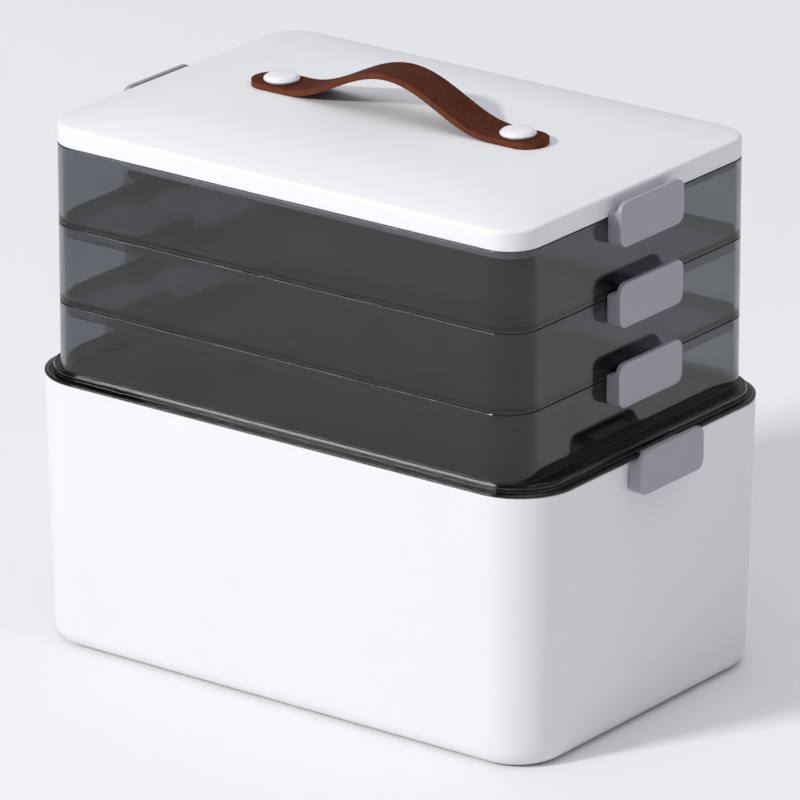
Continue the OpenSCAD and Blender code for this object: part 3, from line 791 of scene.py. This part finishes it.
def hook(reach, low, slope, nose):
    """The hook behind the plate: its underside lies `low` above the joint at the wall and
    rises outwards by `slope` degrees, and it thins inwards to a rounded nose at `reach`."""
    rise = math.tan(math.radians(slope))
    root = low + HOOK_ROOT * rise
    high = low + HOOK_THICK + PLATE_IN * rise
    tip = low + reach * rise
    round_nose = nose * HOOK_NOSE_ROUND
    profile = fillet([
        (HOOK_ROOT, root, 0), (HOOK_ROOT, high, 0), (PLATE_IN, high, 0),
        (reach, tip + nose, round_nose), (reach, tip, round_nose), (HOOK_ROOT, root, 0)],
        steps=HOOK_STEPS)[:-1]
    return bar(profile, -HOOK_HALF, HOOK_HALF)


def at_end(shells, side, wall, joint):
    """Closed shells drawn with the wall and the joint at 0, joined as (points, faces) and set
    on the right end (+1) or turned to the left end (-1)."""
    points, faces, first = [], [], 0
    for shell_points, shell_faces in shells:
        points.append(shell_points)
        faces += [[first + n for n in face] for face in shell_faces]
        first += len(shell_points)
    return (np.concatenate(points) + [wall, 0, joint]) * [side, side, 1], faces


def crisp(made):
    """Keeps edges that turn by more than CRISP_FROM degrees crisp in a smooth mesh."""
    made.data.set_sharp_from_angle(angle=math.radians(CRISP_FROM))
    return made


def lugs(root):
    """The two lugs on a wall: bars with a half round nose about the pin. `root` is where they
    start, out from the wall: inside a white wall, and just off the face of a clear one."""
    turn = np.radians(np.linspace(-90, 90, LUG_NOSE_POINTS))
    nose = np.stack([PIVOT_OUT + LUG_RADIUS * np.cos(turn), LUG_RADIUS * np.sin(turn)], 1)
    profile = np.concatenate([[[root, -LUG_RADIUS]], nose, [[root, LUG_RADIUS]]])
    profile[:, 1] -= PIVOT_DOWN
    return [bar(profile, -LUG_TO, -LUG_FROM), bar(profile, LUG_FROM, LUG_TO)]


def ledge(root):
    """The ledge above a joint: flat below, leaning in at its top along the hook's swing."""
    by_wall, outside = LEDGE_TOP
    lean_from = max(root, 0.0) + LEDGE_LEAN_FROM
    profile = np.array([[root, LEDGE_LOW], [LEDGE_OUT, LEDGE_LOW], [LEDGE_OUT, outside],
                        [lean_from, by_wall], [root, by_wall]])
    return [bar(profile, -LEDGE_HALF, LEDGE_HALF)]


for level, above, wall, joint in LATCHES:
    on_bin, on_lid = level == "bin", above == "lid"
    lower = (white_plastic, "bin_body", "white_plastic") if on_bin else (
        smoky_plastic, f"tray_{level}_body", "clear_plastic")
    upper = (white_plastic, "lid_body", "white_plastic") if on_lid else (
        smoky_plastic, f"{above}_body", "clear_plastic")
    claw = hook(**(HOOK_OVER_FLANGE if on_bin else HOOK_OVER_LEDGE))
    face = plate_face(FACE_EDGE_ON_BIN if on_bin else FACE_EDGE_ON_TRAY)
    latch_shells = [face, plate_core(), cheek(-1), cheek(1), claw]
    lug_shells = lugs(ROOT_IN_WHITE if on_bin else ROOT_ON_CLEAR)
    ledge_shells = ledge(ROOT_IN_WHITE if on_lid else ROOT_ON_CLEAR)
    for side, sign in (("left", -1), ("right", 1)):
        latch = crisp(mesh_object(
            f"latch_plate_{level}_{side}", *at_end(latch_shells, sign, wall, joint),
            latch_plastic, f"latch_{level}_{side}_body", "latch_plastic"))
        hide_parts(f"latch_{level}_{side}")
        crisp(mesh_object(f"lugs_{level}_{side}", *at_end(lug_shells, sign, wall, joint),
                          *lower))
        if not on_bin:
            crisp(mesh_object(f"ledge_{level}_{side}", *at_end(ledge_shells, sign, wall, joint),
                              *upper))
        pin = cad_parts[f"pin_{level}_{side}"].data
        pin.materials.clear()
        pin.materials.append(pin_steel)


# The studio's floor: one large sheet of matt white paper that lies flat under the box, far
# wider than the picture, with a barely uneven tone.
FLOOR_HALF = 20.0
PAPER_SHEEN = 0.1


def pale_paper():
    """Matt white paper sweep with a barely uneven tone."""
    made, tree, out = material("paper_sweep")
    place = node(tree, "ShaderNodeTexCoord").outputs["Object"]
    cloud = node(tree, "ShaderNodeTexNoise", {"Vector": place}, scale=1.5)
    tone = node(tree, "ShaderNodeValToRGB", {"Fac": cloud.outputs["Fac"]})
    tone.color_ramp.elements[0].color = srgb("#f1f1f2")
    tone.color_ramp.elements[1].color = srgb("#f3f3f4")
    face = node(tree, "ShaderNodeBsdfPrincipled", {"Base Color": tone.outputs["Color"]},
                roughness=0.9)
    face.inputs["Specular IOR Level"].default_value = PAPER_SHEEN
    tree.links.new(face.outputs["BSDF"], out.inputs["Surface"])
    return made


floor_corners = [(FLOOR_HALF * x, FLOOR_HALF * y, 0)
                 for x, y in ((-1, -1), (1, -1), (1, 1), (-1, 1))]
floor_mesh = bpy.data.meshes.new("floor")
floor_mesh.from_pydata(floor_corners, [], [(0, 1, 2, 3)])
floor_mesh.materials.append(pale_paper())
floor = bpy.data.objects.new("floor", floor_mesh)
scene.collection.objects.link(floor)
